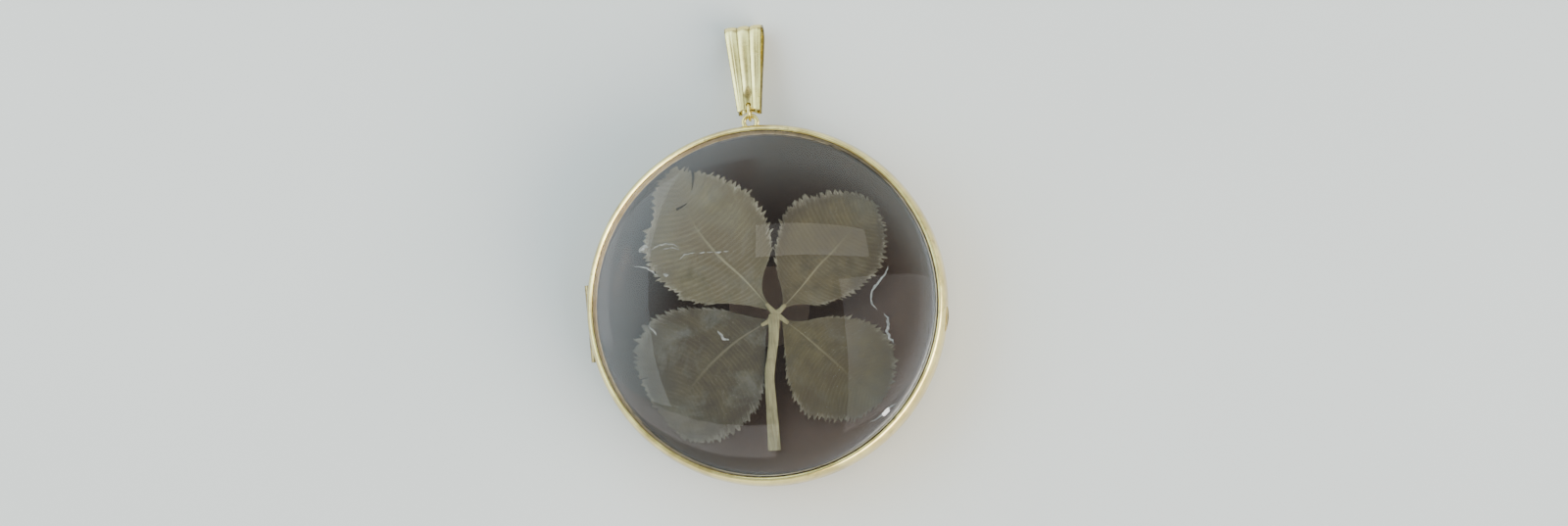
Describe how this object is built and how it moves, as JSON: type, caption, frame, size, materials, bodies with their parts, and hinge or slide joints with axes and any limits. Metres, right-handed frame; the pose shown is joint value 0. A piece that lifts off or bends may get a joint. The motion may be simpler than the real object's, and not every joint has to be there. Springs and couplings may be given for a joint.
{
  "type": "glass locket",
  "caption": "Round locket with hinged gold rim halves, domed clear crystals over a pressed clover, and a ribbed folded bail on a link for a chain.",
  "frame": {"origin": "middle of the flat foot on the rear crystal, which rests on the surface, with the locket lying face up", "axes": "+Z the way the face looks, +Y from the rim's middle towards the bail, +X away from the hinge"},
  "size_m": [0.0281, 0.0364, 0.0071],
  "materials": {
    "rim_gold": "polished gold filled, worn and a little tarnished",
    "bright_gold": "bright pale gold",
    "inner_gold": "dull tarnished gold",
    "front_glass": "clear polished glass",
    "rear_glass": "smoky polished glass",
    "pin_steel": "drawn wire",
    "dried_leaf": "matt dried leaf",
    "dried_stem": "matt dried stem"
  },
  "bodies": {
    "rear_half": {"rear_bezel": "rim_gold", "rear_crystal": "rear_glass", "rear_retaining_ring": "inner_gold", "snap_collar": "inner_gold", "rear_knuckle_upper": "rim_gold", "rear_knuckle_lower": "rim_gold", "hinge_pin": "pin_steel", "bail_eye": "bright_gold", "eye_saddle": "bright_gold", "clover_stem": "dried_stem", "clover_leaflet_1": "dried_leaf", "clover_leaflet_2": "dried_leaf", "clover_leaflet_3": "dried_leaf", "clover_leaflet_4": "dried_leaf"},
    "front_half": {"front_bezel": "rim_gold", "front_crystal": "front_glass", "front_retaining_ring": "inner_gold", "front_knuckle": "rim_gold", "thumb_lip": "rim_gold"},
    "link": {"jump_ring": "bright_gold"},
    "bail": {"bail": "bright_gold"}
  },
  "joints": [
    {"name": "cover_hinge", "type": "hinge", "parent": "rear_half", "child": "front_half", "pos_m": [-0.01377, 0, 0.00352], "axis": [0, -1, 0], "range_deg": [0, 95]},
    {"name": "link_tip", "type": "hinge", "parent": "rear_half", "child": "link", "pos_m": [0, 0.01498, 0.00272], "axis": [1, 0, 0], "range_deg": [0, 95]},
    {"name": "bail_swing", "type": "hinge", "parent": "link", "child": "bail", "pos_m": [0, 0.01582, 0.0025], "axis": [0, 0.2543, 0.9671], "range_deg": [-10, 10]}
  ]
}
